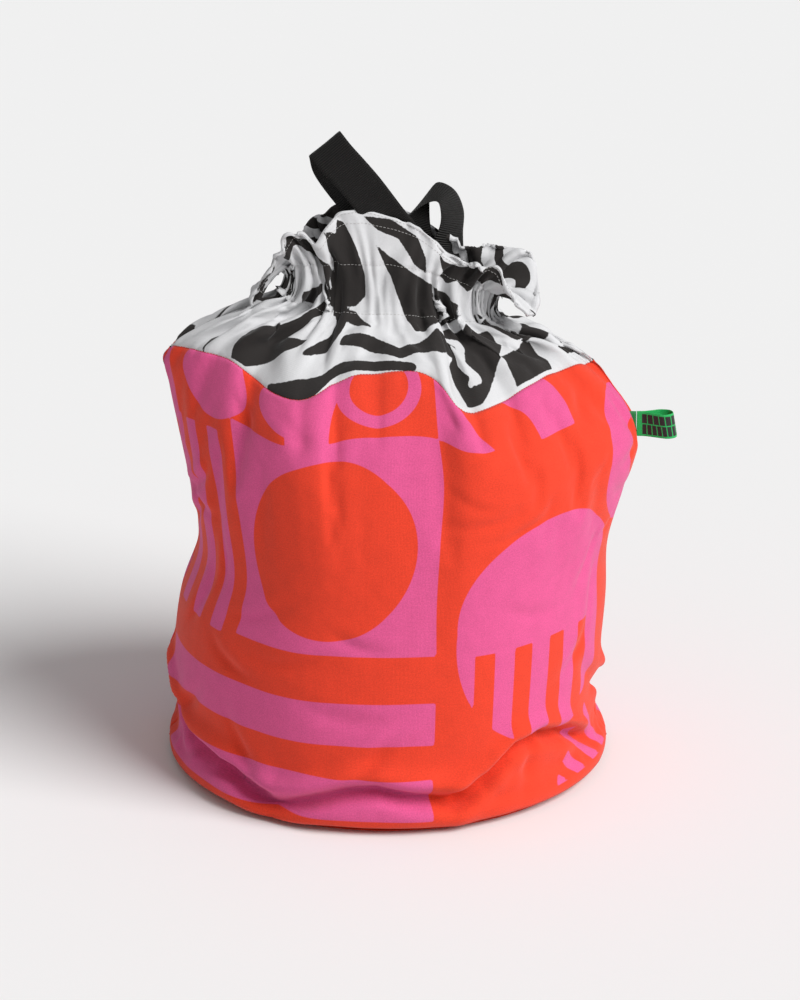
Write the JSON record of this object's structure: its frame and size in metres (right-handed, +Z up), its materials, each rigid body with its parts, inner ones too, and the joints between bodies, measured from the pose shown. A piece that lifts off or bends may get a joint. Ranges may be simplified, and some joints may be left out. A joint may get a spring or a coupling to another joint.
{
  "type": "sack race bag",
  "caption": "Printed cotton drawstring sack drawn shut on a round base, with a gathered collar, webbing hand loops and a loop label in its side seam.",
  "frame": {"origin": "centre of the round base, on the floor", "axes": "+Z up, +X towards the label's side seam, -Y towards the front"},
  "size_m": [0.4889, 0.422, 0.6459],
  "materials": {
    "printed_cotton": "woven cotton, orange-red with a pink print",
    "collar_cotton": "woven cotton, white with a black brush print",
    "seam_thread": "sewing thread",
    "light_thread": "sewing thread",
    "webbing": "ribbed black webbing",
    "woven_label": "woven green ribbon"
  },
  "bodies": {
    "bag": {"base_panel": "printed_cotton", "base_seam_stitches": "seam_thread", "body_front": "printed_cotton", "body_back": "printed_cotton", "side_seam_left": "seam_thread", "side_seam_right": "seam_thread", "collar_seam_stitches": "seam_thread", "collar_front": "collar_cotton", "collar_back": "collar_cotton", "facing_front": "collar_cotton", "facing_back": "collar_cotton", "casing_lower_stitches": "light_thread", "casing_upper_stitches": "light_thread", "hem_stitches": "light_thread", "rim_stitches": "light_thread", "drawstring_front_run": "webbing", "drawstring_back_run": "webbing", "label_root": "woven_label"},
    "front_pull": {"front_pull_outer": "webbing", "front_pull_inner": "webbing"},
    "front_hand_loop": {"front_loop": "webbing"},
    "rear_pull": {"rear_pull_left": "webbing", "rear_pull_right": "webbing"},
    "rear_hand_loop": {"rear_loop": "webbing"},
    "label": {"label_loop": "woven_label"}
  },
  "joints": [
    {"name": "front_pull_slide", "type": "slide", "parent": "bag", "child": "front_pull", "axis": [0, 0, 1], "range_m": [0, 0.06]},
    {"name": "front_loop_tilt", "type": "hinge", "parent": "front_pull", "child": "front_hand_loop", "pos_m": [0, -0.0104, 0.568], "axis": [1, 0, 0], "range_deg": [0, 60]},
    {"name": "rear_pull_slide", "type": "slide", "parent": "bag", "child": "rear_pull", "axis": [0, 0, 1], "range_m": [0, 0.06]},
    {"name": "rear_loop_tilt", "type": "hinge", "parent": "rear_pull", "child": "rear_hand_loop", "pos_m": [0.05, 0.0104, 0.568], "axis": [1, 0, 0], "range_deg": [-60, 0]},
    {"name": "label_swing", "type": "hinge", "parent": "bag", "child": "label", "pos_m": [0.2405, 0, 0.3385], "axis": [0, 0, 1], "range_deg": [-50, 50]}
  ]
}
